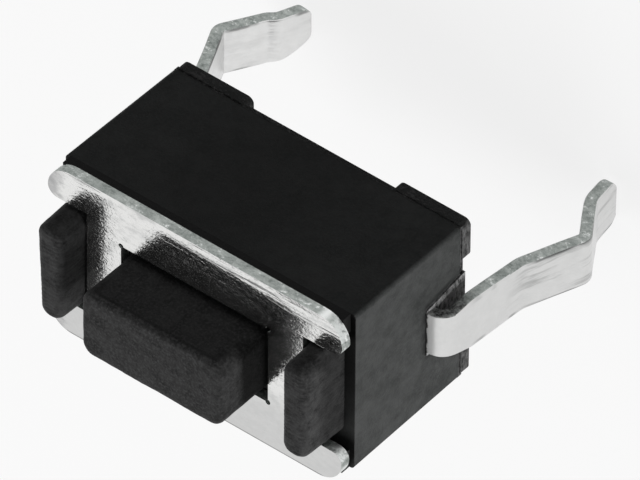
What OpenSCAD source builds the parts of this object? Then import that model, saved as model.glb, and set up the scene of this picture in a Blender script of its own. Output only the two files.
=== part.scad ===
// Tactile push button switch with two through-hole legs, in millimetres.
// The button points along +Z and the board surface is the plane z = 0, so the legs reach below it.
// X runs from leg to leg and Y across the narrow side.

/* [Housing] */
// Length of the moulded housing over its end walls, at their front edge
housing_l = 6; // [5.6:0.1:6.6]
// Width of the housing over its long walls, at the front edge
housing_w = 3.36; // [3.2:0.02:3.8]
// Height of the end walls' front edge over the board
housing_h = 2.95; // [2.8:0.05:3.6]
// Mould draft of the outer walls, in degrees
draft_deg = 0.5; // [0:0.1:1]
// How far the long walls stand above the end walls to carry the cover
rail_h = 0.19; // [0.1:0.01:0.4]
// Distance from a long wall's raised part to the end face
rail_in = 0.1; // [0.05:0.01:0.15]
// Thickness of the long walls beside the pocket
side_wall = 0.38; // [0.3:0.02:0.45]
// Thickness of plastic between a post and the pocket
post_web = 0.22; // [0.15:0.01:0.3]
// Step from the pocket in to the well that holds the dome
well_step = 0.15; // [0.1:0.01:0.2]
// Depth of the well
well_depth = 0.5; // [0.45:0.01:0.7]
// Plastic over the buried strips
floor_skin = 0.1; // [0.08:0.01:0.2]
// Height of the coarse band at the rear, made in the other mould half
band_h = 0.1; // [0.06:0.01:0.2]
// How far the coarse band stands back from the walls
band_in = 0.02; // [0.01:0.005:0.04]
// How far the coarse pad behind each leg stands out of the end face's front edge
leg_pad_d = 0.01; // [0:0.005:0.03]
// How far that pad reaches past each side of the leg, where the leg comes out
leg_pad_side = 0.05; // [0.02:0.01:0.1]
// How much wider the pad is on each side at the rear
leg_pad_flare = 0.18; // [0:0.02:0.3]

/* [Feet] */
// Length of a foot along the housing
foot_l = 1.46; // [1.2:0.02:1.8]
// Width of a foot across the housing
foot_w = 0.8; // [0.6:0.02:1]
// Height of a foot, which is the gap between board and housing
foot_h = 0.17; // [0.1:0.01:0.3]
// Corner radius of a foot
foot_r = 0.12; // [0.05:0.01:0.2]

/* [Posts] */
// Width of each post along the housing
post_t = 0.52; // [0.4:0.01:0.6]
// Length of each post across the housing
post_l = 2.1; // [1.6:0.02:2.2]
// Height of the posts over the cover
post_rise = 0.6; // [0.4:0.02:0.8]
// Distance from a post to the end face
post_in = 0.21; // [0.16:0.01:0.26]
// Edge radius of the posts
post_r = 0.12; // [0.05:0.01:0.15]
// Radius at the top of each post's two ends
post_end_r = 0.22; // [0.1:0.01:0.3]

/* [Cover] */
// Sheet thickness of the cover
cover_t = 0.2; // [0.15:0.01:0.3]
// How far the cover reaches past each end face
cover_over_x = 0.05; // [0:0.01:0.1]
// How far the cover reaches past each long wall
cover_over_y = 0.07; // [0:0.01:0.1]
// Corner radius of the cover
cover_r = 0.48; // [0.2:0.02:0.6]
// Room between a post and its notch
notch_gap = 0.03; // [0.02:0.01:0.06]
// Radius at the mouth of a notch
mouth_r = 0.2; // [0.05:0.01:0.22]
// Radius of the small relief at each corner of the hole
relief_r = 0.05; // [0.03:0.01:0.1]

/* [Button] */
// Length of the button's face
button_l = 2.93; // [2.4:0.01:3]
// Width of the button's face
button_w = 1.38; // [1.2:0.02:1.5]
// Height of the button over the cover
button_rise = 1.1; // [0.5:0.05:2]
// Radius of the button's four upright edges
button_corner_r = 0.26; // [0.1:0.01:0.3]
// Radius of the rim round the button's face
button_r = 0.11; // [0.05:0.01:0.2]
// Room between button and hole along the switch
button_gap_x = 0.06; // [0.04:0.01:0.1]
// Room between button and hole across the switch
button_gap_y = 0.11; // [0.05:0.01:0.12]
// Thickness of the flange that keeps the button in
flange_t = 0.3; // [0.2:0.02:0.4]
// Room between the flange and the pocket
flange_gap = 0.1; // [0.06:0.01:0.12]
// Room between the flange and the cover with the button up
rest_gap = 0.02; // [0.01:0.01:0.05]
// Radius of the nub that presses the dome
nub_r = 0.42; // [0.3:0.02:0.5]
// Height of the nub
nub_h = 0.3; // [0.2:0.02:0.4]
// How far the stem between nub and flange stands in from the button's sides
stem_in = 0.18; // [0.1:0.02:0.25]

/* [Dome] */
// Sheet thickness of the dome
dome_t = 0.06; // [0.04:0.01:0.08]
// Height of the dome over the floor of the well
dome_rise = 0.34; // [0.3:0.01:0.4]
// Room between the dome and the walls of the well
dome_gap = 0.06; // [0.04:0.01:0.1]
// Room between the nub and the dome with the button up
nub_gap = 0.02; // [0.01:0.01:0.04]

/* [Terminals] */
// Sheet thickness of the legs
leg_t = 0.22; // [0.18:0.01:0.3]
// Width of the legs where they leave the end faces
leg_w = 0.88; // [0.6:0.02:1]
// Height over the board where a leg starts to widen
shoulder_top = 0.84; // [0.7:0.02:0.9]
// Height over the board where a leg is widest
shoulder_z = 0.5; // [0.3:0.02:0.66]
// Width of a leg there
shoulder_w = 1.03; // [0.8:0.01:1.2]
// Width of a leg from its knee to its tip
tip_w = 0.96; // [0.9:0.01:1.1]
// Height of the legs' centre over the board where they leave the end faces
exit_z = 1.04; // [0.9:0.02:1.2]
// Distance from the end face to the upright part of a leg, to the middle of the sheet
stand_off = 0.28; // [0.26:0.01:0.5]
// Radius of the bend outside the end face
bend_r = 0.22; // [0.18:0.01:0.24]
// Depth of the neck, where a leg turns out to its knee
neck_z = 0.72; // [0.4:0.02:1]
// Distance from the end face to the neck of the +X leg
neck_out = 0.42; // [0.3:0.01:0.5]
// Distance from the end face to the neck of the -X leg
rim_neck_out = 0.3; // [0.28:0.01:0.5]
// Radius of the neck
neck_r = 0.5; // [0.3:0.05:0.6]
// Depth of the +X leg's knee, which grips the board's hole
knee_z = 1.86; // [1.6:0.02:2.1]
// Depth of the -X leg's knee
rim_knee_z = 1.94; // [1.6:0.02:2.1]
// Distance from the end face to the knee
knee_out = 0.86; // [0.6:0.01:1]
// Radius of the knee
knee_r = 0.17; // [0.15:0.01:0.3]
// Depth of the ankle, where the +X leg turns straight down
ankle_z = 2.62; // [2.4:0.02:2.8]
// Distance from the end face to the ankle
ankle_out = 0.36; // [0.3:0.01:0.5]
// Radius of the ankle
ankle_r = 0.5; // [0.3:0.05:0.6]
// Depth of the tips
tip_z = 3.28; // [3.1:0.02:4]
// Distance from the end face to the tip of the +X leg
tip_out = 0.28; // [0.1:0.02:0.4]
// Distance from the end face to the tip of the -X leg, which slants in from its knee
rim_tip_out = 0.08; // [-0.1:0.02:0.2]
// Radius of the upper corner of the +X leg's tip
tip_r = 0.3; // [0.1:0.02:0.4]
// Radius of the upper corner of the -X leg's tip
rim_tip_r = 0.16; // [0.1:0.02:0.4]
// Radius of the lower corner of the +X leg's tip
tip_low_r = 0.24; // [0.1:0.02:0.3]
// Radius of the lower corner of the -X leg's tip
rim_tip_low_r = 0.54; // [0.1:0.02:0.6]
// Radius of the pad under the middle of the dome
pad_r = 0.4; // [0.3:0.02:0.5]
// Height of that pad over the floor of the well
pad_rise = 0.03; // [0.01:0.01:0.05]
// Length of the pad under the dome's rim
rim_pad_l = 0.45; // [0.3:0.05:0.6]

/* [Hidden] */
$fn = 48;
eps = 0.01;
half_l = housing_l / 2;
half_w = housing_w / 2;
cover_z = housing_h + rail_h;
face_z = cover_z + cover_t;
draft = tan(draft_deg);
post_x = half_l - post_in - post_t / 2;
pocket_l = 2 * (post_x - post_t / 2 - post_web);
pocket_w = housing_w - 2 * side_wall;
pocket_r = 0.3; // corner radius of the pocket and of the flange
well_l = pocket_l - 2 * well_step;
well_w = pocket_w - 2 * well_step;
well_r = 0.5; // corner radius of the well
floor_z = exit_z + leg_t / 2 + floor_skin;
dome_d = well_l - 2 * dome_gap;
dome_w = well_w - 2 * dome_gap;
dome_R = (pow(dome_d / 2, 2) + pow(dome_rise, 2)) / (2 * dome_rise);
nub_z = floor_z + dome_rise + nub_gap;
flange_z = cover_z - rest_gap - flange_t;
hole_l = button_l + 2 * button_gap_x;
hole_w = button_w + 2 * button_gap_y;
notch_x = post_x - post_t / 2 - notch_gap;
notch_w = post_l + 2 * notch_gap;
strip_inner = dome_d / 2 - rim_pad_l;

// A leg's middle line outside the housing, as x, z and the radius of the corner there
bend = [half_l + stand_off, exit_z, bend_r];
neck = [half_l + neck_out, -neck_z, neck_r];
knee = [half_l + knee_out, -knee_z, knee_r];
ankle = [half_l + ankle_out, -ankle_z, ankle_r];
rim_neck = [half_l + rim_neck_out, -neck_z, neck_r];
rim_knee = [half_l + knee_out, -rim_knee_z, knee_r];
centre_corners = [bend, neck, knee, ankle];
rim_corners = [bend, rim_neck, rim_knee];
kink_steps = 8;

function unit(v) = v / norm(v);
function turn(v) = [-v[1], v[0]];
function place(corner) = [corner[0], corner[1]];

// Points of the arc that rounds the corner b between a and c with radius r
function corner_arc(a, b, c, r) =
    let (
        u = unit(a - b),
        w = unit(c - b),
        half = acos(u * w) / 2,
        centre = b + unit(u + w) * r / sin(half),
        from = b + u * r / tan(half) - centre,
        to = b + w * r / tan(half) - centre,
        start = atan2(from[1], from[0]),
        raw = atan2(to[1], to[0]) - start,
        sweep = raw > 180 ? raw - 360 : raw < -180 ? raw + 360 : raw
    )
    [for (i = [0 : kink_steps])
        let (a = start + sweep * i / kink_steps)
        centre + r * [cos(a), sin(a)]];

// A middle line from x = inner round every corner, and on past the tip that lies out from the end face
function leg_line(inner, corners, out) =
    let (
        last = place(corners[len(corners) - 1]),
        tip = [half_l + out, -tip_z],
        past = tip + unit(tip - last) * leg_t,
        p = concat([[inner, exit_z]], [for (c = corners) place(c)], [past])
    )
    concat(
        [p[0]],
        [for (i = [1 : len(corners)]) each corner_arc(p[i - 1], p[i], p[i + 1], corners[i - 1][2])],
        [past]
    );

// The line moved sideways by d, with true spacing at each corner
function beside(line, d) =
    let (last = len(line) - 1)
    [for (i = [0 : last])
        let (
            before = unit(line[max(i, 1)] - line[max(i, 1) - 1]),
            after = unit(line[min(i, last - 1) + 1] - line[min(i, last - 1)]),
            n = unit(turn(before) + turn(after))
        )
        line[i] + n * d / (n * turn(before))];

function reversed(line) = [for (i = [len(line) - 1 : -1 : 0]) line[i]];

// What a round of radius r takes off a square corner at the origin
module corner_waste(r) {
    difference() {
        translate([-eps, -eps]) square(r + eps);
        translate([r, r]) circle(r);
    }
}

// A rectangle centred on the origin with four round corners
module round_rect(l, w, r) {
    difference() {
        square([l, w], center = true);
        for (sx = [0, 1], sy = [0, 1])
            mirror([sx, 0]) mirror([0, sy])
                translate([-l / 2, -w / 2]) corner_waste(r);
    }
}

// A rectangle that stands on the X axis with two round upper corners
module round_top(l, h, r) {
    difference() {
        translate([-l / 2, 0]) square([l, h]);
        for (sx = [0, 1])
            mirror([sx, 0]) translate([-l / 2, h]) mirror([0, 1]) corner_waste(r);
    }
}

// A block with its foot at z = 0, round upright edges and a round rim on top.
// The rim has one radius at the ends of its length and one at the ends of its width.
module soft_block(l, w, h, corner_r, l_rim_r, w_rim_r) {
    intersection() {
        linear_extrude(h) round_rect(l, w, corner_r);
        rotate([90, 0, 0]) linear_extrude(w + 1, center = true) round_top(l, h, l_rim_r);
        rotate([90, 0, 90]) linear_extrude(l + 1, center = true) round_top(w, h, w_rim_r);
    }
}

// A wall outline with draft: half the width at the board and at height z
module drafted_side(half, z) {
    low = half - draft * housing_h;
    high = low + draft * z;
    polygon([[-low, 0], [low, 0], [high, z], [-high, z]]);
}

// The drafted block that all outer walls are cut from, less inset on every side
module drafted_block(z, inset = 0) {
    intersection() {
        rotate([90, 0, 0]) linear_extrude(housing_w + 1, center = true) drafted_side(half_l - inset, z);
        rotate([90, 0, 90]) linear_extrude(housing_l + 1, center = true) drafted_side(half_w - inset, z);
    }
}

module feet() {
    rear_l = half_l - draft * housing_h;
    rear_w = half_w - draft * housing_h;
    for (sx = [0, 1], sy = [0, 1])
        mirror([sx, 0, 0]) mirror([0, sy, 0])
            translate([rear_l - foot_l / 2, rear_w - foot_w / 2, 0])
                linear_extrude(foot_h + band_h / 2) round_rect(foot_l, foot_w, foot_r);
}

// The walls: a band at the rear, the full block above it, and the raised long walls
module walls() {
    band_top = foot_h + band_h;
    intersection() {
        drafted_block(band_top, band_in);
        translate([-half_l, -half_w, foot_h]) cube([housing_l, housing_w, band_h]);
    }
    difference() {
        drafted_block(cover_z);
        translate([-housing_l, -housing_w, -eps]) cube([2 * housing_l, 2 * housing_w, band_top + eps]);
        for (sx = [0, 1])
            mirror([sx, 0, 0])
                translate([half_l - rail_in, -housing_w, housing_h]) cube([housing_l, 2 * housing_w, 1]);
    }
}

// The coarse pad of the +X end face, wider at the rear, which the leg comes out of
module leg_pad() {
    top = leg_w / 2 + leg_pad_side;
    low = top + leg_pad_flare;
    top_z = exit_z + leg_t / 2;
    translate([half_l - draft * housing_h - leg_pad_d, 0, 0])
        rotate([90, 0, 90]) linear_extrude(draft * housing_h + 2 * leg_pad_d)
            polygon([[-low, foot_h], [low, foot_h], [top, top_z], [-top, top_z]]);
}

// The pocket for the flange and the well for the dome
module pocket() {
    well_top = floor_z + well_depth;
    translate([0, 0, floor_z]) linear_extrude(well_depth + eps) round_rect(well_l, well_w, well_r);
    translate([0, 0, well_top]) linear_extrude(cover_z) round_rect(pocket_l, pocket_w, pocket_r);
    translate([-half_l - 1, -pocket_w / 2, housing_h]) cube([housing_l + 2, pocket_w, 1]);
}

// Moulded housing: drafted walls, feet, posts, pocket and leg pads in one piece
module housing() {
    post_h = face_z + post_rise - housing_h;
    color([0.11, 0.11, 0.115]) {
        difference() {
            union() {
                walls();
                feet();
                for (sx = [0, 1])
                    mirror([sx, 0, 0]) leg_pad();
            }
            pocket();
            rim_strip();
            centre_strip();
        }
        for (sx = [-1, 1])
            translate([sx * post_x, 0, housing_h - eps])
                soft_block(post_t, post_l, post_h + eps, post_r, post_r, post_end_r);
    }
}

// Sheet cover with the button's hole and an open notch for each post
module cover_plate() {
    cover_l = housing_l + 2 * cover_over_x;
    cover_w = housing_w + 2 * cover_over_y;
    color([0.8, 0.8, 0.79])
        translate([0, 0, cover_z]) linear_extrude(cover_t)
            difference() {
                round_rect(cover_l, cover_w, cover_r);
                square([hole_l, hole_w], center = true);
                for (sx = [-1, 1], sy = [-1, 1])
                    translate([sx * hole_l / 2, sy * hole_w / 2]) circle(relief_r);
                for (sx = [0, 1])
                    mirror([sx, 0]) {
                        translate([notch_x, -notch_w / 2]) square([housing_l, notch_w]);
                        for (sy = [0, 1])
                            mirror([0, sy])
                                translate([cover_l / 2, notch_w / 2])
                                    mirror([1, 0]) corner_waste(mouth_r);
                    }
            }
}

// Button with the flange that the cover holds down and the nub that presses the dome
module button() {
    button_h = face_z + button_rise - flange_z;
    stem_z = nub_z + nub_h;
    color([0.17, 0.17, 0.175]) {
        translate([0, 0, flange_z]) {
            linear_extrude(flange_t)
                round_rect(pocket_l - 2 * flange_gap, pocket_w - 2 * flange_gap, pocket_r);
            soft_block(button_l, button_w, button_h, button_corner_r, button_r, button_r);
        }
        translate([0, 0, stem_z])
            linear_extrude(flange_z - stem_z + eps)
                round_rect(button_l - 2 * stem_in, button_w - 2 * stem_in, button_r);
        translate([0, 0, nub_z]) cylinder(r = nub_r, h = nub_h + eps);
    }
}

// Snap dome: a round sheet cap trimmed to the width of the well
module contact_dome() {
    color([0.75, 0.74, 0.7])
        translate([0, 0, floor_z])
            intersection() {
                rotate_extrude()
                    intersection() {
                        translate([0, dome_rise - dome_R])
                            difference() {
                                circle(dome_R, $fn = 180);
                                circle(dome_R - dome_t, $fn = 180);
                            }
                        square([dome_d / 2, dome_rise + eps]);
                    }
                translate([-dome_d / 2, -dome_w / 2, 0]) cube([dome_d, dome_w, dome_rise + eps]);
            }
}

// The +Y half of a leg's outline seen from the end face, from its exit to the middle of its tip
function half_outline() = [
    [leg_w / 2, exit_z + leg_t],
    [leg_w / 2, shoulder_top],
    [shoulder_w / 2, shoulder_z],
    [tip_w / 2, -knee_z],
    [tip_w / 2, -tip_z]
];

// A leg's outline seen from the end face, with the radii of its tip's upper and lower corner
module leg_front(top_r, low_r) {
    half = half_outline();
    difference() {
        polygon(concat(half, reversed([for (p = half) [-p[0], p[1]]])));
        translate([-tip_w / 2, -tip_z]) corner_waste(low_r);
        translate([tip_w / 2, -tip_z]) mirror([1, 0]) corner_waste(top_r);
    }
}

// One leg on the +X side, with its strip reaching in to x = inner and a tip that lies out from the end face
module leg(inner, corners, out, top_r, low_r) {
    line = leg_line(inner, corners, out);
    intersection() {
        rotate([90, 0, 0]) linear_extrude(leg_w + 1, center = true)
            polygon(concat(beside(line, leg_t / 2), reversed(beside(line, -leg_t / 2))));
        rotate([90, 0, 90]) linear_extrude(half_l + knee_out + 1) leg_front(top_r, low_r);
    }
}

// Strip with a flat pad that comes up through the floor under the dome's rim
module rim_strip() {
    mirror([1, 0, 0]) {
        leg(strip_inner, rim_corners, rim_tip_out, rim_tip_r, rim_tip_low_r);
        translate([strip_inner, -leg_w / 2, exit_z])
            cube([rim_pad_l, leg_w, floor_z - exit_z]);
    }
}

// Strip with a round pad that comes up through the floor under the middle of the dome
module centre_strip() {
    leg(0, centre_corners, tip_out, tip_r, tip_low_r);
    translate([0, 0, exit_z - leg_t / 2]) cylinder(r = pad_r, h = floor_z + pad_rise - exit_z + leg_t / 2);
}

module rim_terminal() {
    color([0.82, 0.82, 0.81]) rim_strip();
}

module centre_terminal() {
    color([0.82, 0.82, 0.81]) centre_strip();
}

housing();
cover_plate();
button();
contact_dome();
rim_terminal();
centre_terminal();
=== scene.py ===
# %% [markdown]
# # A tactile push button switch
# A black moulded housing six millimetres long, a bright sheet cover, a rectangular button and two
# kinked legs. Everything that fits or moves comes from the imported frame. This file gives every
# piece the edges, grain and finish that a close photograph shows.

# %% The frame
import math

import bmesh
import bpy
from mathutils import Matrix, Vector, noise


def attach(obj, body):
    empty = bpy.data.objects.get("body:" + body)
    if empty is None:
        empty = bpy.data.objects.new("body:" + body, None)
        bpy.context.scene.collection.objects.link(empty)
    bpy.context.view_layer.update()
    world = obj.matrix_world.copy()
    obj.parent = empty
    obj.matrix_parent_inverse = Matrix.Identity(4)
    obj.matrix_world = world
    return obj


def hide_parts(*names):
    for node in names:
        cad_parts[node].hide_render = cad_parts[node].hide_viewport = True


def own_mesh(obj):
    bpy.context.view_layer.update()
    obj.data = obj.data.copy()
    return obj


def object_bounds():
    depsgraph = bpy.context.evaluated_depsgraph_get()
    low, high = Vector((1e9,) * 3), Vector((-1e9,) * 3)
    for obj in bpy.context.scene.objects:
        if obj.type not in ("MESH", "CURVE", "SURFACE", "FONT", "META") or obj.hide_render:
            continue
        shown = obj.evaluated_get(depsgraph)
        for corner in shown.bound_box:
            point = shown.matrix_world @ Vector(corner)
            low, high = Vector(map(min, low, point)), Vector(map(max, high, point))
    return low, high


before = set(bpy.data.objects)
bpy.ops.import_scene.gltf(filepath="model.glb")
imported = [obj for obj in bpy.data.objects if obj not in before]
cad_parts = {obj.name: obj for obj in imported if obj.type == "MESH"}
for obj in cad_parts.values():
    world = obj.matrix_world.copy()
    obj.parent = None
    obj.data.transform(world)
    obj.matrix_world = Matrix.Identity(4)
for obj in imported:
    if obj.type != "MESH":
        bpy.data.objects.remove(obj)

cad_low, cad_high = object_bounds()
MM = 0.001
FIXED, MOVING = "switch_body", "push_button"
print("CAD box in mm:", [round(v / MM, 2) for v in (cad_high - cad_low)])

# %% [markdown]
# ## Sizes that several cells share
# X runs from leg to leg, Y across the narrow side and Z up from the board through the button.
# The finishes put marks at places on the switch, such as a leg's exit, and the pieces are built
# at the same places. A size that both need stands here once, so that the two can't drift apart.

# %% Shared sizes in millimetres
END_X, SIDE_Y = 3.0, 1.75
WALL_TOP, FACE_Z, BUTTON_TOP = 2.95, 3.34, 4.44
POST_X, POST_T, POST_L = 2.53, 0.52, 2.1
BUTTON_L, BUTTON_W = 2.93, 1.38
EXIT_Z, TIP_Z = 1.04, 3.28
print("button's top here and in the frame:", BUTTON_TOP, round(cad_high.z / MM, 2))
print("leg tips here and in the frame:", -TIP_Z, round(cad_low.z / MM, 2))

# %% [markdown]
# ## Working in millimetres
# The switch is so small that metres would leave every number with three noughts in front. Each
# mesh is therefore built in millimetres and brought down to metres in one place, just before it
# becomes an object. The same place sets smooth shading and says which body the piece rides on.
# `crisp` keeps flat faces flat between rounded edges, by weighting the normals by face size.

# %% From a mesh in millimetres to a piece
def make_piece(name, bm, body, materials, replaced=(), crisp=False):
    """Turns a bmesh in millimetres into an object that rides on a body of the frame."""
    mesh = bpy.data.meshes.new(name)
    bmesh.ops.recalc_face_normals(bm, faces=bm.faces)
    bm.to_mesh(mesh)
    bm.free()
    mesh.transform(Matrix.Scale(MM, 4))
    for material in materials:
        mesh.materials.append(material)
    mesh.shade_smooth()
    piece = bpy.data.objects.new(name, mesh)
    bpy.context.scene.collection.objects.link(piece)
    if crisp:
        piece.modifiers.new("flat faces stay flat", "WEIGHTED_NORMAL").keep_sharp = True
    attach(piece, body)
    if replaced:
        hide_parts(*replaced)
    print(name, "has", len(mesh.polygons), "faces")
    return piece


# %% [markdown]
# ## Shader maths as Python
# A node tree is easier to read as a formula. `Wire` wraps one socket and turns `+`, `-`, `*` and
# `abs` into Math nodes, also where the number comes first, as in `1 - mask`.

# %% A socket that can be used in sums
class Wire:
    def __init__(self, tree, socket):
        self.tree = tree
        self.socket = socket

    def maths(self, operation, first, second=0.0):
        return self.tree.add("ShaderNodeMath", {"operation": operation}, {0: first, 1: second})

    def __add__(self, other):
        return self.maths("ADD", self, other)

    def __radd__(self, other):
        return self.maths("ADD", other, self)

    def __sub__(self, other):
        return self.maths("SUBTRACT", self, other)

    def __rsub__(self, other):
        return self.maths("SUBTRACT", other, self)

    def __mul__(self, other):
        return self.maths("MULTIPLY", self, other)

    def __rmul__(self, other):
        return self.maths("MULTIPLY", other, self)

    def __abs__(self):
        return self.maths("ABSOLUTE", self)

    def at_most(self, other):
        return self.maths("MINIMUM", self, other)


# %% [markdown]
# Every node in this file comes from one method, `Tree.add`: the node's type, the settings that
# have to come first, then values or wires for the sockets, by name or by number. It hands back
# one output as a wire, so calls can stand inside each other like any formula.

# %% A tree with one way to add nodes
class Tree:
    def __init__(self, tree):
        self.tree = tree

    def add(self, kind, settings=None, inputs=None, out=0):
        node = self.tree.nodes.new(kind)
        for name, value in (settings or {}).items():
            if name == "stops":
                self.set_stops(node.color_ramp, value)
            else:
                setattr(node, name, value)
        for key, value in (inputs or {}).items():
            self.plug(node.inputs[key], value)
        return Wire(self, node.outputs[out])

    def plug(self, socket, value):
        if isinstance(value, Wire):
            self.tree.links.new(value.socket, socket)
        else:
            socket.default_value = value

    def set_stops(self, ramp, stops):
        while len(ramp.elements) < len(stops):
            ramp.elements.new(0.5)
        for element, (position, colour) in zip(ramp.elements, stops):
            element.position = position
            element.color = (*colour, 1)


def grey(level):
    return (level, level, level)


# %% [markdown]
# `Finish` is one material. `mm` is the point on the object in millimetres, so every pattern
# below has a real size, and a mask such as "within a tenth of the edge" reads as it is said.
# `step` and `line` make the masks, `grain` the noise, `mix` and `ramp` the colours. Numbers that
# are the same all over a surface go straight onto the shader through the constants.

# %% One material
class Finish(Tree):
    def __init__(self, name, **constants):
        self.material = bpy.data.materials.new(name)
        self.material.use_nodes = True
        super().__init__(self.material.node_tree)
        self.shader = self.tree.nodes["Principled BSDF"]
        for label, value in constants.items():
            self.drive(label.replace("_", " "), value)
        place = self.add("ShaderNodeTexCoord", out="Object")
        self.mm = self.add("ShaderNodeVectorMath", {"operation": "SCALE"},
                           {0: place, "Scale": 1 / MM})

    def drive(self, label, value):
        self.plug(self.shader.inputs[label], value)

    def axis(self, index):
        return self.add("ShaderNodeSeparateXYZ", {}, {"Vector": self.mm}, out=index)

    def grain(self, lumps, detail=3.0, roughness=0.6):
        """Noise from 0 to 1 with so many lumps per millimetre, one number or one for each axis."""
        factors = lumps if isinstance(lumps, tuple) else (lumps, lumps, lumps)
        place = self.add("ShaderNodeVectorMath", {"operation": "MULTIPLY"},
                         {0: self.mm, 1: factors})
        return self.add("ShaderNodeTexNoise", {}, {"Vector": place, "Scale": 1.0,
                                                   "Detail": detail, "Roughness": roughness})

    def step(self, value, low, high):
        """0 below low, 1 above high, and a smooth rise between."""
        return self.add("ShaderNodeMapRange", {"interpolation_type": "SMOOTHSTEP"},
                        {"Value": value, "From Min": low, "From Max": high})

    def line(self, value, middle, half):
        """1 where value is at middle, falling smoothly to 0 at half away on both sides."""
        return (self.step(value, middle - half, middle)
                * (1 - self.step(value, middle, middle + half)))

    def ramp(self, value, stops):
        return self.add("ShaderNodeValToRGB", {"stops": stops}, {"Fac": value})

    def mix(self, share, first, second):
        """The first colour where share is 0, the second where it is 1."""
        first, second = (c if isinstance(c, Wire) else (*c, 1) for c in (first, second))
        return self.add("ShaderNodeMix", {"data_type": "RGBA"},
                        {0: share, 6: first, 7: second}, out=2)

    def bump(self, height, depth_mm):
        """Feeds the shader's normal from a height of 0 to 1 that stands for depth_mm."""
        self.drive("Normal", self.add("ShaderNodeBump", {}, {
            "Strength": 1.0, "Distance": depth_mm * MM, "Height": height}))

    def done(self):
        print(self.material.name, "has", len(self.tree.nodes), "nodes")
        return self.material


# %% [markdown]
# ## Black moulded plastic
# The housing is glass-filled plastic from a polished mould: near black, satin, with a grain far
# finer than a tenth of a millimetre. Two places are coarse, because that part of the mould was
# left spark-eroded: the band at the rear and the flared pad behind each leg. Every face could be
# unwrapped and painted, but masks by position need no unwrapping and let one material cover the
# whole moulding. The last masks paint shade: under the cover's rim, in a band round each pad, in a
# line just above each leg's exit, and over the middle of the wide face at +Y, which faces away
# from the lamps. The pads' speckle is painted lighter, as painted light where the leg shades it.

# %% Housing finish
PAD_TOP, PAD_FOOT, PAD_HALF, PAD_FLARE = 1.15, 0.17, 0.49, 0.18
BAND_TOP = 0.27


def housing_plastic():
    f = Finish("black_moulded_plastic", Specular_IOR_Level=0.05, IOR=1.5)
    along, across, height = abs(f.axis(0)), abs(f.axis(1)), f.axis(2)
    fine = f.grain(22, detail=4.0, roughness=0.7)
    torn = f.grain((9, 6, 15), detail=5.0, roughness=0.75)
    blotchy, cloudy = f.grain(4), f.grain((1.1, 1.7, 1.3))

    end = f.step(along, END_X - 0.1, END_X - 0.05)
    band = 1 - f.step(height, BAND_TOP - 0.015, BAND_TOP + 0.015)
    into_pad = PAD_HALF + (PAD_TOP - height) * (PAD_FLARE / (PAD_TOP - PAD_FOOT)) - across
    pad = f.step(along, END_X - 0.03, END_X - 0.02) * f.step(into_pad, -0.02, 0.01)
    pad = pad * (1 - f.step(height, PAD_TOP - 0.02, PAD_TOP + 0.01))
    coarse = (band * (f.step(torn + cloudy, 0.9, 1.1) + end) + pad).at_most(1.0)

    # Painted shade under the cover's rim, round each pad, above each leg's exit and on the wide
    # face.
    shade_under_cover = f.step(height, WALL_TOP - 0.025, WALL_TOP - 0.005)
    shade_under_cover = shade_under_cover * (0.45 + f.step(f.axis(1), -0.9, 0.6) * 0.55)
    shade_round_pad = f.line(into_pad, -0.06, 0.09) * (1 - f.step(height, PAD_TOP - 0.05, PAD_TOP + 0.1))
    shade_over_leg = f.line(height + fine * 0.12, EXIT_Z + 0.18, 0.14)
    shade_over_leg = shade_over_leg * (1 - f.step(across, 0.4, 0.5))
    pad_and_exit_shade = (shade_round_pad + shade_over_leg).at_most(1.0) * end * (1 - pad) * f.step(blotchy, 0.3, 0.6)
    wide_face_shade = f.line(f.axis(0), -0.3, 2.8) * f.step(f.axis(1), SIDE_Y - 0.2, SIDE_Y - 0.09)
    painted_shade = (shade_under_cover + pad_and_exit_shade * 0.7 + wide_face_shade * 0.4).at_most(1.0)

    uneven = f.step(cloudy * 0.5 + blotchy * 0.5, 0.32, 0.68)
    shade = f.mix(uneven, (0.021, 0.0225, 0.022), (0.046, 0.0475, 0.047))
    grained = f.mix(f.step(fine, 0.4, 0.75) * 0.5, shade, (0.06, 0.0615, 0.061))
    speckled = f.ramp(torn, [(0.38, grey(0.015)), (0.64, grey(0.13))])
    # Painted light: the pads' speckle is lighter where the leg shades them.
    pad_speckle_and_painted_light = f.ramp(torn, [(0.36, grey(0.03)), (0.6, grey(0.34))])
    surface = f.mix(coarse, grained, f.mix(pad, speckled, pad_speckle_and_painted_light))
    f.drive("Base Color", f.mix(painted_shade, surface, grey(0.009)))
    f.drive("Roughness", 0.4 + fine * 0.14 + coarse * 0.2)
    f.bump(fine * 0.2 * (1 - coarse) + torn * coarse, 0.03)
    return f.done()


BLACK = housing_plastic()

# %% [markdown]
# A fine dark line of painted shade runs round the button's long walls, just under the front edge
# and down the corners, and a row of painted highlights lies above it. The short walls get painted
# shade as well. Modelling such fine relief would cost many faces, so two masks paint the light
# and shade instead.

# %% The button's painted rim shade and highlights
CORNER_LINE_X = 1.25


def rim_shade_and_highlights(f):
    """Painted shade round the long walls' rim and over the short walls, and painted highlights
    above the rim.
    """
    along, across = abs(f.axis(0)), abs(f.axis(1))
    over_top = f.axis(2) - BUTTON_TOP + f.grain(7) * 0.07
    long_wall = f.step(across, BUTTON_W / 2 - 0.11, BUTTON_W / 2 - 0.03)
    front = f.line(over_top, -0.085, 0.05)
    front = front * (1 - f.step(along, CORNER_LINE_X - 0.05, CORNER_LINE_X + 0.05)) * 0.8
    upright = f.line(along, CORNER_LINE_X, 0.1)
    upright = upright * f.step(over_top, -0.54, -0.24) * (1 - f.step(over_top, -0.1, -0.06))
    # Painted shade over the short walls.
    short_wall_shade = f.step(along, CORNER_LINE_X - 0.05, CORNER_LINE_X + 0.25) * 0.6
    points = f.step(f.grain(11, detail=2.0), 0.42, 0.6)
    return ((front + upright).at_most(1.0) * long_wall + short_wall_shade,
            f.line(over_top, -0.035, 0.035) * long_wall * points)
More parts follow.
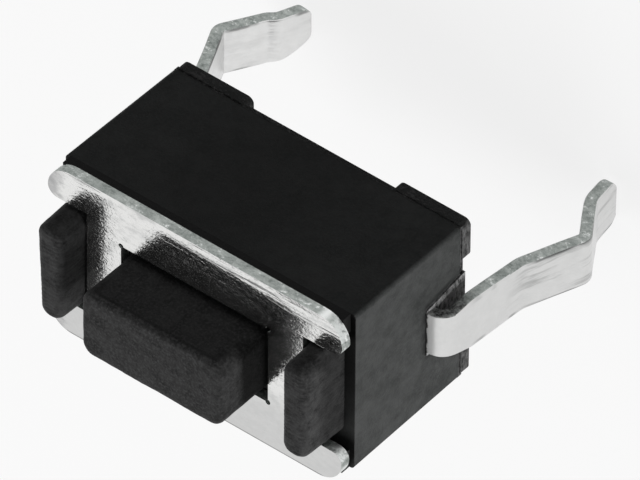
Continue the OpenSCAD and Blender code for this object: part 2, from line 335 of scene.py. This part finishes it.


# %% [markdown]
# The button and the two posts come from a duller insert of the mould. Their grain is a little
# coarser, and it lightens the high spots slightly, which is what makes black plastic look matte
# instead of just dark. The posts also show the layers in which their insert was cut. Their
# outward faces show them least, and get painted shade where they leave the cover. Two functions
# would repeat most of this, so one makes both finishes and takes the strength of the layers.

# %% Button and post finishes
LAYERS = 0.45
POST_OUT = POST_X + POST_T / 2


def matte_plastic(name, layers):
    """The button's finish where layers is 0, and else the posts' with layers of that strength."""
    f = Finish(name, Specular_IOR_Level=0.06, IOR=1.5)
    pores = f.grain(19, detail=4.0, roughness=0.7)
    cloudy = f.step(f.grain(4, detail=4.0, roughness=0.7), 0.3, 0.7)
    outward = f.step(abs(f.axis(0)), POST_OUT - 0.09, POST_OUT - 0.03)
    streaks = f.step(f.grain((1.5, 17, 1.5)), 0.4, 0.7) * (1 - outward * 0.8)
    lifted = f.step(pores, 0.42, 0.72) * (1 - layers) + streaks * (0.8 * layers)
    shade = f.mix(cloudy, grey(0.014 - 0.01 * layers), grey(0.036 + 0.022 * layers))
    colour = f.mix(lifted, shade, (0.058, 0.058, 0.059))
    if layers:
        # Painted shade on the outward faces just above the cover.
        shade_at_cover = (1 - f.step(f.axis(2), FACE_Z + 0.04, FACE_Z + 0.44)) * outward
        colour = f.mix(shade_at_cover * 0.55, colour, grey(0.01))
    else:
        # Painted shade, then painted highlights, round the button's rim.
        painted_shade, painted_highlights = rim_shade_and_highlights(f)
        colour = f.mix(painted_shade * 0.55, colour, grey(0.007))
        colour = f.mix(painted_highlights * 0.45, colour, grey(0.11))
    f.drive("Base Color", colour)
    f.drive("Roughness", 0.5 + pores * 0.2)
    f.bump(pores, 0.014)
    return f.done()


MATTE = matte_plastic("matte_black_plastic", 0.0)
LAYERED = matte_plastic("layered_black_plastic", LAYERS)

# %% [markdown]
# ## Bright sheet
# The cover is cut from rolled strip, which acts as a poor mirror. Rolling leaves streaks along
# the strip, here along X, so that noise is about eleven times longer than it is wide. A plain
# rough metal would show the button and the posts as one soft blur. Low roughness with streaks,
# pits and mottling in it keeps their reflections and frays them. The side at +Y was handled: it
# is scored and scuffed, and its rim rolls over in a wavy line. The side at -Y is calm and grey,
# with painted shade along its edge. The end at -X is darker, and near the end at +X the rounded
# edge gets a painted dark reflection.

# %% Cover finish
def cover_metal():
    f = Finish("bright_rolled_sheet", Metallic=1.0)
    x, y, z = f.axis(0), f.axis(1), f.axis(2)
    streaks = f.grain((0.7, 8, 8), detail=1.5)
    mottled = f.grain((6, 8, 6), detail=2.5, roughness=0.7)
    patches = f.step(f.grain((2.2, 4.2, 3.0), detail=4.0), 0.3, 0.55)
    pits = f.step(f.grain((18, 21, 18), detail=2.0), 0.42, 0.75)

    low_side = 1 - f.step(y, -1.1, -0.3)
    # Painted shade along the edge at -Y.
    edge_shade = 1 - f.step(y, 0.01 - SIDE_Y, 0.035 - SIDE_Y)
    darker_end = 1 - f.step(x + mottled * 0.5, -2.75, -2.4)
    # A painted dark reflection on the rounded edge near the end at +X.
    painted_lip_reflection = f.line(x, 2.72, 0.2) * (1 - f.step(z, FACE_Z - 0.015, FACE_Z - 0.002))
    calm = patches + (mottled - patches) * (low_side * 0.85)
    face = f.mix(calm, (0.54, 0.545, 0.54), (0.76, 0.76, 0.75))
    face = f.mix(low_side * 0.5, face, grey(0.5))
    face = f.mix(edge_shade * 0.7, face, grey(0.1))
    face = f.mix(darker_end * 0.7, face, (0.31, 0.31, 0.315))
    f.drive("Base Color", f.mix(painted_lip_reflection * 0.9, face, grey(0.1)))

    handled = f.step(y + x * 0.1, 0.7, 1.5)
    scored = f.step(f.grain((0.4, 11, 11)), 0.52, 0.75) * handled
    scuffed = f.step(f.grain((10, 14, 10), detail=4.0, roughness=0.8), 0.5, 0.75) * handled
    wavy = f.grain((0.4, 3.2, 3.2), detail=2.0)
    rim = f.step(y + x * 0.03 + wavy * 0.16 + scored * 0.14, 1.62, 1.9)
    f.drive("Roughness", 0.09 + streaks * 0.04 + mottled * 0.05 + pits * 0.07 + scored * 0.14)
    f.drive("Metallic", 1 - scuffed * 0.22)
    f.bump(1 - rim + streaks * 0.1 + mottled * 0.16 + scored * 0.12 + pits * 0.05, 0.03)
    return f.done()


BRIGHT = cover_metal()

# %% [markdown]
# Where sheet is cut, the punch leaves a torn zone, grey with bright points. It is rougher than
# the face and of another tone, so it gets a finish of its own on the cover and the legs. Two
# places differ. The cover's edge gets painted highlights at its +X end, brightest and smoother at
# the corner beside +Y. The legs' edges are dark where they bend at their exit.

# %% Sheared edge finish
def sheared_metal():
    f = Finish("sheared_sheet_edge", Metallic=1.0)
    x, out, height = f.axis(0), abs(f.axis(0)), f.axis(2)
    torn = f.grain((10, 10, 13), detail=5.0, roughness=0.75)
    broad = f.grain((2.5, 2.5, 6), detail=2.0)
    points = f.step(f.grain((9, 9, 13), detail=4.0, roughness=0.8) + broad * 0.4, 0.76, 0.9)

    zone = f.ramp(torn * 0.7 + broad * 0.3,
                  [(0.32, (0.14, 0.16, 0.15)), (0.64, (0.5, 0.53, 0.51))])
    # Painted highlights on the edge at the +X end, brightest at the corner beside +Y.
    lobe_highlight = f.step(x, 2.7, 2.9) * (1 - f.step(out, END_X + 0.03, END_X + 0.05))
    lobe_highlight = lobe_highlight * f.step(torn, 0.3, 0.5)
    corner_highlight = f.line(x, 2.64, 0.16) * f.step(f.axis(1), 1.4, 1.5)
    corner_highlight = corner_highlight * f.step(height, FACE_Z - 0.24, FACE_Z - 0.18)
    edge = f.mix((points * 0.8 + lobe_highlight * 0.7 + corner_highlight).at_most(1.0), zone, (0.85, 0.87, 0.86))

    at_bend = f.step(out, END_X - 0.1, END_X - 0.05) * f.step(height + broad * 0.6, 0.6, 1.0)
    at_bend = at_bend * (1 - f.step(height, 2.0, 2.1))
    dark_bend_colour = f.ramp(torn, [(0.4, grey(0.04)), (0.62, (0.34, 0.35, 0.34))])
    f.drive("Base Color", f.mix(at_bend, edge, dark_bend_colour))
    f.drive("Roughness", 0.38 + torn * 0.25 - (points + corner_highlight) * 0.16)
    f.bump(torn * (1 - corner_highlight * 0.7), 0.02)
    return f.done()


TORN = sheared_metal()

# %% [markdown]
# The legs are plated strip. Plating is softer than the rolled cover: wide satin reflections and
# fine lines along the leg. From the neck down, the strip shows the marks of the forming tool:
# grey drawn lines, stronger on the leg at +X, and a line of painted shade along a groove beside
# the cut edge. There are patches of burr along the edges below the shoulder, painted shade where
# the leg leaves the housing, and a darker tone on the tip's cut end. The plating of the first
# bend is strained and scatters light evenly instead of mirroring it, so it gives up most of its
# metallic share there.

# %% Leg finish
def leg_metal():
    f = Finish("plated_strip", Metallic=1.0)
    out, across, height = abs(f.axis(0)), abs(f.axis(1)), f.axis(2)
    lines = f.grain((4, 16, 0.9))
    mottled = f.grain(5, detail=4.0)
    right = f.step(f.axis(0), -1.0, 1.0)

    drawn = f.step(f.grain((1.5, 7, 0.9)), 0.5, 0.7) * (right * 0.8 + 0.2)
    drawn = drawn * (1 - f.step(height, -0.9, -0.2))
    patchy = f.step(f.grain((0.7, 0.7, 0.9)), 0.42, 0.52)
    burr = f.step(across, 0.4, 0.45) * patchy * (1 - f.step(height, 0.1, 0.6))
    # Painted shade along a groove beside the cut edge.
    rolled = f.step(across, 0.43, 0.455) * f.line(height + mottled * 0.3, -1.25, 0.8)
    cut_end = 1 - f.step(height, 0.01 - TIP_Z, 0.04 - TIP_Z)
    upper = f.step(height, 0.5, 0.7)
    # Painted shade where the leg leaves the housing.
    exit_shade = upper * (1 - f.step(out + f.grain(9) * 0.09, END_X + 0.055, END_X + 0.085))
    bent = upper * (1 - f.step(out, END_X + 0.1, END_X + 0.3))

    grimy = (drawn * 0.5 + mottled * 0.3 + burr * 0.8 + cut_end * 0.4).at_most(1.0)
    clean = f.mix(right, (0.83, 0.83, 0.825), (0.74, 0.74, 0.735))
    face = f.mix(grimy, clean, (0.3, 0.305, 0.3))
    f.drive("Base Color", f.mix((exit_shade + rolled * 0.7).at_most(1.0), face, grey(0.04)))
    f.drive("Metallic", 1 - bent * 0.75)
    f.drive("Roughness", 0.26 + lines * 0.16)
    f.bump(lines * 0.5 + mottled * 0.3 - burr * 0.4, 0.016)
    return f.done()


PLATED = leg_metal()

# %% [markdown]
# The snap dome is hardly seen: a plain rolled spring steel that only has to be right through the
# gap around the button and in a cut-away view. One noise, stretched along X, is enough for it.

# %% Dome finish
def dome_steel():
    f = Finish("spring_steel", Metallic=1.0)
    rolled = f.grain((1.5, 30, 30))
    f.drive("Base Color", f.mix(rolled, (0.55, 0.54, 0.51), (0.72, 0.71, 0.68)))
    f.drive("Roughness", 0.2 + rolled * 0.15)
    f.bump(rolled, 0.004)
    return f.done()


SPRING = dome_steel()

# %% [markdown]
# ## Softening the exact solids
# No moulded or stamped edge is sharp. The housing and the cover have the right form in the
# frame already, so they are copied, their flat triangles are merged into clean faces, and each
# sharp edge gets a small round. Modelling them again by hand would only risk a misfit.

# %% A copy of a node in millimetres, with clean faces
WELD, FLAT_ANGLE, SHARP_ANGLE = 0.0005, math.radians(0.5), math.radians(30)


def clean_copy(node):
    bm = bmesh.new()
    bm.from_mesh(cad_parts[node].data)
    bmesh.ops.scale(bm, vec=(1 / MM,) * 3, verts=bm.verts)
    bmesh.ops.remove_doubles(bm, verts=bm.verts, dist=WELD)
    merge_flat_faces(bm)
    return bm


def merge_flat_faces(bm):
    bmesh.ops.dissolve_limit(bm, angle_limit=FLAT_ANGLE, verts=bm.verts, edges=bm.edges)


def cut_away(bm, unwanted):
    """Deletes the faces for which unwanted is true and closes the holes that they leave."""
    bmesh.ops.delete(bm, geom=[f for f in bm.faces if unwanted(f)], context="FACES")
    open_edges = [e for e in bm.edges if len(e.link_faces) == 1]
    bmesh.ops.holes_fill(bm, edges=open_edges, sides=0)


def bevel(bm, edges, radius, segments):
    bmesh.ops.bevel(bm, geom=edges, offset=radius, segments=segments, profile=0.5,
                    affect="EDGES", clamp_overlap=True)


def round_edges(bm, radius, segments=3):
    sharp = [e for e in bm.edges
             if len(e.link_faces) == 2 and e.calc_face_angle(0) > SHARP_ANGLE]
    bevel(bm, sharp, radius, segments)


# %% [markdown]
# ## The housing
# One moulding, with drafted walls, feet, pads and a pocket. Its two posts are covered by fine
# ridges from the tool, which need a denser mesh than the plain walls, so the posts are taken off
# here and built again below. The four upright corners get a wider round than the other edges,
# and first, because a bevel can't widen an edge that another bevel has already split.

# %% Housing without its posts
CORNER_ZONE, CORNER_R, WALL_EDGE_R = (2.95, 1.62), 0.08, 0.035
SLACK = 0.01


def is_post(face):
    centre = face.calc_center_median()
    near_x = abs(abs(centre.x) - POST_X) < POST_T / 2 + SLACK
    return near_x and abs(centre.y) < POST_L / 2 + SLACK and centre.z > WALL_TOP + 0.001


def is_upright(edge):
    """A long edge between an end face and a long wall."""
    a, b = (v.co for v in edge.verts)
    middle = (a + b) / 2
    at_corner = abs(middle.x) > CORNER_ZONE[0] and abs(middle.y) > CORNER_ZONE[1]
    return at_corner and abs(a.z - b.z) > 2


shell = clean_copy("housing")
cut_away(shell, is_post)
merge_flat_faces(shell)
upright = [e for e in shell.edges if is_upright(e)]
print("upright corners found:", len(upright))
bevel(shell, upright, CORNER_R, segments=4)
round_edges(shell, WALL_EDGE_R)
make_piece("housing_shell", shell, FIXED, [BLACK], ["housing"], crisp=True)

# %% [markdown]
# ## Rounded blocks with a real surface
# The button and the posts are blocks with two kinds of rounding: wide upright corners and a
# tighter rim round the top. A bevelled box would do for the outline, but it has no points in its
# flat faces to carry lumps and ridges. So the start is a box whose faces are fine grids.

# %% A dense box
def dense_box(low, high, spacing):
    """A box whose faces are grids with a point every spacing, welded along its edges."""
    bm = bmesh.new()
    size = high - low
    counts = [max(2, round(s / spacing)) for s in size]
    for axis in range(3):
        u, v = (axis + 1) % 3, (axis + 2) % 3
        for side in (0, 1):
            rows = []
            for i in range(counts[u] + 1):
                row = []
                for j in range(counts[v] + 1):
                    p = Vector(low)
                    p[axis] += size[axis] * side
                    p[u] += size[u] * i / counts[u]
                    p[v] += size[v] * j / counts[v]
                    row.append(bm.verts.new(p))
                rows.append(row)
            for i in range(counts[u]):
                for j in range(counts[v]):
                    corners = (rows[i][j], rows[i + 1][j], rows[i + 1][j + 1], rows[i][j + 1])
                    bm.faces.new(corners if side else corners[::-1])
    bmesh.ops.remove_doubles(bm, verts=bm.verts, dist=spacing / 100)
    return bm


# %% [markdown]
# The box is bent to its rounded shape in two moves. First the square outline of each layer is
# drawn in to arcs, then whatever lies near the rim is pulled to a small circle. Moving the points
# keeps the grid even, where a bevel would leave long thin faces.

# %% Rounding it
def rounded_block(low, high, corner_r, rim_r, spacing, taper=0.0):
    """A dense box with round upright corners and a round top rim; taper narrows it in Y."""
    bm = dense_box(low, high, spacing)
    centre = (low + high) / 2
    reach = (high - low) / 2 - Vector((corner_r, corner_r, 0))
    for vert in bm.verts:
        plan = (vert.co - centre).to_2d()
        core = Vector(max(-r, min(r, c)) for c, r in zip(plan, reach))
        out = plan - core
        if out.length > 1e-9:
            out *= max(abs(out.x), abs(out.y)) / out.length
            inside, below = corner_r - out.length, high.z - vert.co.z
            if inside < rim_r and below < rim_r:
                pull = Vector((rim_r - inside, rim_r - below)).normalized() * rim_r
                out = out.normalized() * (corner_r - rim_r + pull.x)
                vert.co.z = high.z - rim_r + pull.y
        narrow = 1 - taper * (vert.co.z - low.z) / (high.z - low.z)
        vert.co.x = centre.x + core.x + out.x
        vert.co.y = centre.y + (core.y + out.y) * narrow
    bm.normal_update()
    return bm


# %% [markdown]
# ## The posts
# Two upright posts pass through the cover's notches and taper a little, as moulded posts do.
# Fine wavy ridges run across them, each a step of the electrode that cut the mould. They could
# be a bump texture, but their outline shows against the bright cover, so they are real relief.
# The post at -X also leans, and is wider at +Y than at -Y.

# %% Posts with tool ridges
POST_RISE, POST_ROOT, POST_TAPER = 0.6, 0.1, 0.07
POST_CORNER_R, POST_RIM_R, POST_GRID = 0.24, 0.14, 0.019
RIDGE_PITCH, RIDGE_DEPTH = 0.086, 0.008
LEFT_SPREAD, LEFT_LEAN = 0.033, 0.012


def ridge_height(point, normal, side):
    """The relief at a point, from about -2 to 0.5 times RIDGE_DEPTH; side varies the noise."""
    wave = 0.9 * RIDGE_PITCH * noise.noise(point * 2.2 + Vector((side * 9, 0, 0)))
    ridge = math.cos(2 * math.pi * (point.y + wave) / RIDGE_PITCH)
    strength = 0.5 + 0.8 * noise.noise(point * 3.5 + Vector((0, 0, side * 7)))
    lump = noise.noise(point * 6 + Vector((0, side * 5, 0)))
    facing = 1 - abs(normal.y) - 0.5 * abs(normal.x)
    return 0.5 * ridge * facing * max(0.0, strength) + 0.7 * lump - 0.7


def ridged_post(name, side):
    low = Vector((side * POST_X - POST_T / 2, -POST_L / 2, WALL_TOP - POST_ROOT))
    high = Vector((side * POST_X + POST_T / 2, POST_L / 2, FACE_Z + POST_RISE))
    bm = rounded_block(low, high, POST_CORNER_R, POST_RIM_R, POST_GRID, POST_TAPER)
    for vert in bm.verts:
        vert.co += vert.normal * RIDGE_DEPTH * ridge_height(vert.co, vert.normal, side)
        if side < 0:
            across = (vert.co.x + POST_X) / (POST_T / 2)
            vert.co.x += vert.co.y / (POST_L / 2) * (LEFT_SPREAD * across - LEFT_LEAN)
    make_piece(name, bm, FIXED, [LAYERED])


ridged_post("post_left", -1)
ridged_post("post_right", 1)

# %% [markdown]
# ## The button
# What shows is the block above the cover, a little lumpy all over. The lumps are real relief,
# because the rim's outline shows them, and all of it is drawn in a little first, so that no lump
# stands out of the exact button. The block reaches down into the flange made next, so that the
# two look like one moulding.

# %% Button block
FLANGE_Z, FLANGE_T = 2.82, 0.3
BLOCK_FOOT = FLANGE_Z + 0.02
BUTTON_CORNER_R, BUTTON_RIM_R, BUTTON_GRID = 0.26, 0.11, 0.026
LUMP, FINE_LUMP, DRAWN_IN = 0.006, 0.003, 0.007


def button_block():
    low = Vector((-BUTTON_L / 2, -BUTTON_W / 2, BLOCK_FOOT))
    high = Vector((BUTTON_L / 2, BUTTON_W / 2, BUTTON_TOP))
    bm = rounded_block(low, high, BUTTON_CORNER_R, BUTTON_RIM_R, BUTTON_GRID)
    for vert in bm.verts:
        lump = noise.noise(vert.co * 3.5)
        fine = noise.noise(vert.co * 13)
        vert.co += vert.normal * (LUMP * lump + FINE_LUMP * fine - DRAWN_IN)
    return bm


make_piece("button_cap", button_block(), MOVING, [MATTE])

# %% [markdown]
# The flange that holds the button under the cover, and the nub that presses the dome, are plain
# and hidden. They come from the frame's own button, which loses its upper part for the block.

# %% Flange and nub
lower = clean_copy("button")
cut_away(lower, lambda face: face.calc_center_median().z > FLANGE_Z + FLANGE_T + 0.005)
make_piece("button_flange", lower, MOVING, [MATTE], ["button"])

# %% [markdown]
# ## The cover
# A stamped plate. The punch drags the sheet down before it cuts, so its edges are round for the
# last few hundredths of a millimetre. A bevel with several segments gives that. Faces that stand
# on edge get the torn metal, and the rest stays bright.

# %% Cover plate
COVER_EDGE_R = 0.045

plate = clean_copy("cover_plate")
round_edges(plate, COVER_EDGE_R, segments=4)
plate.normal_update()
for face in plate.faces:
    face.material_index = 1 if abs(face.normal.z) < 0.5 else 0
make_piece("cover_sheet", plate, FIXED, [BRIGHT, TORN], ["cover_plate"], crisp=True)

# %% [markdown]
# ## The legs
# A leg is strip bent to a line: out of the end face, down to a neck, out to a knee that grips the
# board, in to an ankle and on to the tip. The two legs are no mirror images: the one at -X has
# another neck, knee and tip, and a small dent in place of a clean ankle. Each corner of a line is
# a point and a radius, which is how a bending drawing gives it.

# %% The legs' lines
BEND = (Vector((END_X + 0.28, EXIT_Z)), 0.27)
NECK = (Vector((END_X + 0.42, -0.72)), 0.5)
KNEE = (Vector((END_X + 0.86, -1.86)), 0.17)
ANKLE = (Vector((END_X + 0.36, -2.62)), 0.5)
RIGHT_TIP = Vector((END_X + 0.28, -TIP_Z))
LEFT_NECK = (Vector((END_X + 0.3, -0.72)), 0.5)
LEFT_KNEE = (Vector((END_X + 0.86, -1.94)), 0.17)
DENT = [(Vector((END_X + 0.425, -2.66)), 0.3), (Vector((END_X + 0.295, -2.76)), 0.3)]
LEFT_TIP = Vector((END_X + 0.08, -TIP_Z))


def rounded_line(start, corners, end, steps=10):
    """The points of a line whose corners are arcs of their own radius."""
    stations = [start] + [c for c, _ in corners] + [end]
    points = [start]
    for index, (corner, radius) in enumerate(corners, 1):
        back = (stations[index - 1] - corner).normalized()
        on = (stations[index + 1] - corner).normalized()
        half = back.angle(on) / 2
        centre = corner + (back + on).normalized() * radius / math.sin(half)
        first = corner + back * radius / math.tan(half) - centre
        last = corner + on * radius / math.tan(half) - centre
        for k in range(steps + 1):
            points.append(centre + first.slerp(last, k / steps) * radius)
    points.append(end)
    return points


def line_length(points):
    return sum((b - a).length for a, b in zip(points, points[1:]))


leg_line = rounded_line(Vector((0, EXIT_Z)), [BEND, NECK, KNEE, ANKLE], RIGHT_TIP)
print("leg line, mm:", round(line_length(leg_line), 2))

# %% [markdown]
# The strip is swept along that line as a row of rings. Even steps between the rings leave room
# for the small waves of bent strip. Near the tip they close up, because the round corners of a
# cut strip turn within a few tenths of a millimetre.

# %% Even steps along a line
RING_STEP, TIP_ZONE, TIP_RINGS = 0.03, 0.3, 12


def evenly(points):
    """The line as (point, direction, distance to the end), closer together in the TIP_ZONE."""
    lengths = [(b - a).length for a, b in zip(points, points[1:])]
    total = sum(lengths)
    plain = total - TIP_ZONE
    count = round(plain / RING_STEP)
    goals = [plain * k / count for k in range(count)]
    goals += [total - TIP_ZONE * (1 - math.sin(math.pi / 2 * k / TIP_RINGS))
              for k in range(TIP_RINGS + 1)]
    found = []
    for goal in goals:
        rest = goal = min(goal, total - 1e-6)
        for a, b, length in zip(points, points[1:], lengths):
            if rest <= length:
                found.append((a.lerp(b, rest / length), (b - a).normalized(), total - goal))
                break
            rest -= length
    return found


# %% [markdown]
# The section is a rounded rectangle. A leg is narrow at its exit, widest at its shoulder, and
# narrows again down to the knee, so its half width follows a short table of heights. The corner
# of a tip need not be a circle: each has its own reach along the leg and its own depth across it.

# %% Widths, tip corners and section
LEG_T, LEG_W = 0.22, 0.88
SECTION_R = 0.04
HALF_WIDTHS = [(0.84, LEG_W / 2), (0.5, 0.515), (-1.86, 0.48)]


def half_width(z):
    """Half of a leg's width at height z, from the table of (height, half width)."""
    for (top, wide), (foot, next_wide) in zip(HALF_WIDTHS, HALF_WIDTHS[1:]):
        if z > foot:
            share = max(0.0, min(1.0, (top - z) / (top - foot)))
            return wide + (next_wide - wide) * share
    return HALF_WIDTHS[-1][1]


def corner_loss(distance, reach, depth):
    """How far a corner, reach long and depth deep, draws the side in so far from the end."""
    if distance >= reach:
        return 0.0
    return depth * (1 - math.sqrt(max(0.0, 1 - (1 - distance / reach) ** 2)))


def section(half_t, low, high, radius, steps=5, across=10):
    """A rounded rectangle: half_t to both sides, and from low to high across."""
    points = []
    for cx, cy, start in ((1, 1, 0), (-1, 1, 90), (-1, -1, 180), (1, -1, 270)):
        mid_y = high - radius if cy > 0 else low + radius
        for k in range(steps + 1):
            a = math.radians(start + 90 * k / steps)
            points.append((cx * (half_t - radius) + radius * math.cos(a),
                           mid_y + radius * math.sin(a)))
        if start in (90, 270):
            top, bottom = high - radius, low + radius
            begin, stop = (top, bottom) if start == 90 else (bottom, top)
            x = -half_t if start == 90 else half_t
            points += [(x, begin + (stop - begin) * k / across) for k in range(1, across)]
    return points


# %% [markdown]
# Each ring stands square to the line, except close to the tip, where it turns level, because
# the tips were cut off parallel to the board. The waves stay outside the housing, so that the
# strip still fits its slot.

# %% Sweeping the section
TIP_TURN, TIP_EDGE = 0.2, 0.05
WAVE, WAVE_FROM = 0.01, END_X + 0.05


def ring_points(point, direction, left, tip_corners):
    """The points of one ring; left is its distance to the tip."""
    normal = Vector((direction.y, -direction.x))
    level = Vector((1 / normal.x, 0)) if abs(normal.x) > 0.5 else normal
    normal = normal.lerp(level, max(0.0, 1 - left / TIP_TURN))
    high = half_width(point.y) - corner_loss(left, *tip_corners[0])
    low = -half_width(point.y) + corner_loss(left, *tip_corners[1])
    half_t = LEG_T / 2 - corner_loss(left, TIP_EDGE, TIP_EDGE)
    outside = point.x > WAVE_FROM
    for u, v in section(half_t, low, high, SECTION_R):
        place = point + normal * u
        spot = Vector((place.x, v, place.y))
        wave = WAVE * (0.7 + noise.noise(spot * 1.6)) if outside else 0.0
        yield spot + Vector((direction.y, 0, -direction.x)) * wave


def swept_leg(inner_x, corners, tip, tip_corners):
    bm = bmesh.new()
    last_ring = None
    line = rounded_line(Vector((inner_x, EXIT_Z)), corners, tip)
    for point, direction, left in evenly(line):
        ring = [bm.verts.new(p) for p in ring_points(point, direction, left, tip_corners)]
        if last_ring:
            size = len(ring)
            for k in range(size):
                after = (k + 1) % size
                bm.faces.new((last_ring[k], last_ring[after], ring[after], ring[k]))
        else:
            bm.faces.new(ring[::-1])
        last_ring = ring
    bm.faces.new(last_ring)
    return bm


# %% [markdown]
# Inside the housing each strip ends in a pad that comes up through the floor: a square one
# under the dome's rim, a round one under its middle. Both are hidden, so a box and a cylinder
# set into the strip are enough.

# %% Pads
FLOOR_Z, PAD_RISE, PAD_R, PAD_SIDES = 1.25, 0.03, 0.4, 48
STRIP_INNER, RIM_PAD_L = 1.39, 0.45


def add_pad(bm, round_pad):
    if round_pad:
        top, foot = FLOOR_Z + PAD_RISE, EXIT_Z - LEG_T / 2
        place = Matrix.Translation((0, 0, (top + foot) / 2))
        bmesh.ops.create_cone(bm, cap_ends=True, segments=PAD_SIDES, radius1=PAD_R,
                              radius2=PAD_R, depth=top - foot, matrix=place)
    else:
        tall = FLOOR_Z - EXIT_Z
        place = Matrix.Translation((STRIP_INNER + RIM_PAD_L / 2, 0, EXIT_Z + tall / 2))
        size = Matrix.Diagonal((RIM_PAD_L, LEG_W, tall, 1))
        bmesh.ops.create_cube(bm, size=1, matrix=place @ size)


# %% [markdown]
# A terminal is a leg and its pad in one. Both legs are swept on the +X side, where the lines are
# drawn, and the one for the other end is mirrored afterwards. A tip's corners are given as
# (reach, depth), first the one at +Y, then the one at -Y.

# %% Terminals
RIGHT_CORNERS = ((0.3, 0.3), (0.24, 0.24))
LEFT_CORNERS = ((0.16, 0.16), (0.95, 0.46))


def terminal(name, node, bm, side):
    if side < 0:
        bmesh.ops.scale(bm, vec=(-1, 1, 1), verts=bm.verts)
        bmesh.ops.reverse_faces(bm, faces=bm.faces)
    bm.normal_update()
    for face in bm.faces:
        face.material_index = 1 if abs(face.normal.y) > 0.7 else 0
    make_piece(name, bm, FIXED, [PLATED, TORN], [node])


right_leg = swept_leg(0.0, [BEND, NECK, KNEE, ANKLE], RIGHT_TIP, RIGHT_CORNERS)
add_pad(right_leg, round_pad=True)
terminal("leg_right", "centre_terminal", right_leg, 1)

left_leg = swept_leg(STRIP_INNER, [BEND, LEFT_NECK, LEFT_KNEE, *DENT], LEFT_TIP, LEFT_CORNERS)
add_pad(left_leg, round_pad=False)
terminal("leg_left", "rim_terminal", left_leg, -1)

# %% [markdown]
# ## The snap dome
# The dome gives way as the button goes down. In the frame it is one rigid piece, and the copy here
# is one rigid piece too, with a mesh of its own. A chain of small rigid pieces could show its
# bending, but nobody sees it under the button.

# %% Dome
dome_piece = make_piece("snap_dome", clean_copy("contact_dome"), FIXED, [SPRING],
                        ["contact_dome"])
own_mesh(dome_piece)

# %% [markdown]
# ## Floor, light and camera
# The photograph is a cut-out on white. Enough light to make a floor white would bleach the
# object, so the floor and the world look white only to rays that come from the camera, from a
# mirror or through glass. The floor keeps a share of its own shading, for the legs' shadow.

# %% Floor
FLOOR_SIZE, FLOOR_DROP, SHADE_SHARE = 0.6, 0.00002, 0.18


def seen_directly(tree):
    """1 for a ray from the camera, a mirror or glass, 0 for light that a surface gathers."""
    eye, mirror, glass = (tree.add("ShaderNodeLightPath", out=name) for name in
                          ("Is Camera Ray", "Is Glossy Ray", "Is Transmission Ray"))
    return (eye + mirror + glass).at_most(1.0)


def floor_paint():
    f = Finish("pale_floor", Roughness=0.9)
    seen = seen_directly(f)
    f.drive("Base Color", f.mix(seen, grey(0.2), grey(0.88)))
    lit = Wire(f, f.shader.outputs[0])
    white = f.add("ShaderNodeEmission", {}, {"Color": (1, 1, 1, 1), "Strength": 1.0})
    blend = f.add("ShaderNodeMixShader", {}, {0: seen * (1 - SHADE_SHARE), 1: lit, 2: white})
    f.plug(f.tree.nodes["Material Output"].inputs["Surface"], blend)
    return f.done()


def pale_floor():
    bm = bmesh.new()
    bmesh.ops.create_grid(bm, x_segments=1, y_segments=1, size=FLOOR_SIZE / 2)
    mesh = bpy.data.meshes.new("floor")
    bm.to_mesh(mesh)
    bm.free()
    mesh.materials.append(floor_paint())
    floor = bpy.data.objects.new("floor", mesh)
    floor.location.z = cad_low.z - FLOOR_DROP
    bpy.context.scene.collection.objects.link(floor)


pale_floor()

# %% [markdown]
# The world is the rest of the room. It shows white like the floor, but as a light it is weak,
# because the lamps do the lighting and a strong world would wash out the black plastic.

# %% World
AMBIENT = 0.1


def soft_world(ambient):
    world = bpy.data.worlds.new("studio")
    bpy.context.scene.world = world
    world.use_nodes = True
    room = Tree(world.node_tree)
    background = world.node_tree.nodes["Background"]
    room.plug(background.inputs["Color"], (1, 1, 1, 1))
    room.plug(background.inputs["Strength"], ambient + seen_directly(room) * (1 - ambient))


soft_world(AMBIENT)

# %% [markdown]
# Three soft boxes: a key lamp square to the end face at +X, a front lamp over the button and the
# cover, and a weaker one from behind. A level of 1 is the light under which a colour renders as
# it is written. The boxes hide from mirrors, so the metal shows only the room.

# %% Lamps
LAMPS = {
    "key_lamp": ((1.0, -0.14, 0.03), 0.08, (0.05, 0.016), 1.35),
    "front_lamp": ((-0.1, -0.25, 1.0), 0.09, (0.06, 0.06), 0.62),
    "back_lamp": ((-0.7, -0.7, 0.15), 0.09, (0.07, 0.05), 0.5),
}


def soft_box(name, direction, distance, size, level):
    lamp = bpy.data.lights.new(name, "AREA")
    lamp.shape = "RECTANGLE"
    lamp.size, lamp.size_y = size
    lamp.energy = level * math.pi ** 2 * distance ** 2
    holder = bpy.data.objects.new(name, lamp)
    way = Vector(direction).normalized()
    holder.location = way * distance
    holder.rotation_euler = way.to_track_quat("Z", "Y").to_euler()
    holder.visible_glossy = False
    bpy.context.scene.collection.objects.link(holder)
    print(name, "energy in watts:", round(lamp.energy, 4))


for name, settings in LAMPS.items():
    soft_box(name, *settings)

# %% [markdown]
# The camera stands far away behind a very long lens, because the photograph's parallel edges
# stay almost parallel. It is rolled so that the switch's width runs up the picture.

# %% Camera
CAMERA_TURN = (-42.82, 39.27, 0.39)
CAMERA_AIM = Vector((0.1, -0.3, 0.28)) * MM
CAMERA_FAR = 0.3
PIXELS_PER_MM, FRAME_PIXELS = 62.05, 640
SENSOR = 36

camera = bpy.data.objects.new("camera", bpy.data.cameras.new("camera"))
camera.rotation_euler = [math.radians(a) for a in CAMERA_TURN]
camera.location = CAMERA_AIM + camera.rotation_euler.to_matrix() @ Vector((0, 0, CAMERA_FAR))
camera.data.sensor_width = SENSOR
camera.data.lens = SENSOR * PIXELS_PER_MM * (CAMERA_FAR / MM) / FRAME_PIXELS
camera.data.clip_start, camera.data.clip_end = 0.01, 2
bpy.context.scene.collection.objects.link(camera)
bpy.context.scene.camera = camera
bpy.context.scene.view_settings.view_transform = "Standard"
print("lens in mm:", round(camera.data.lens))
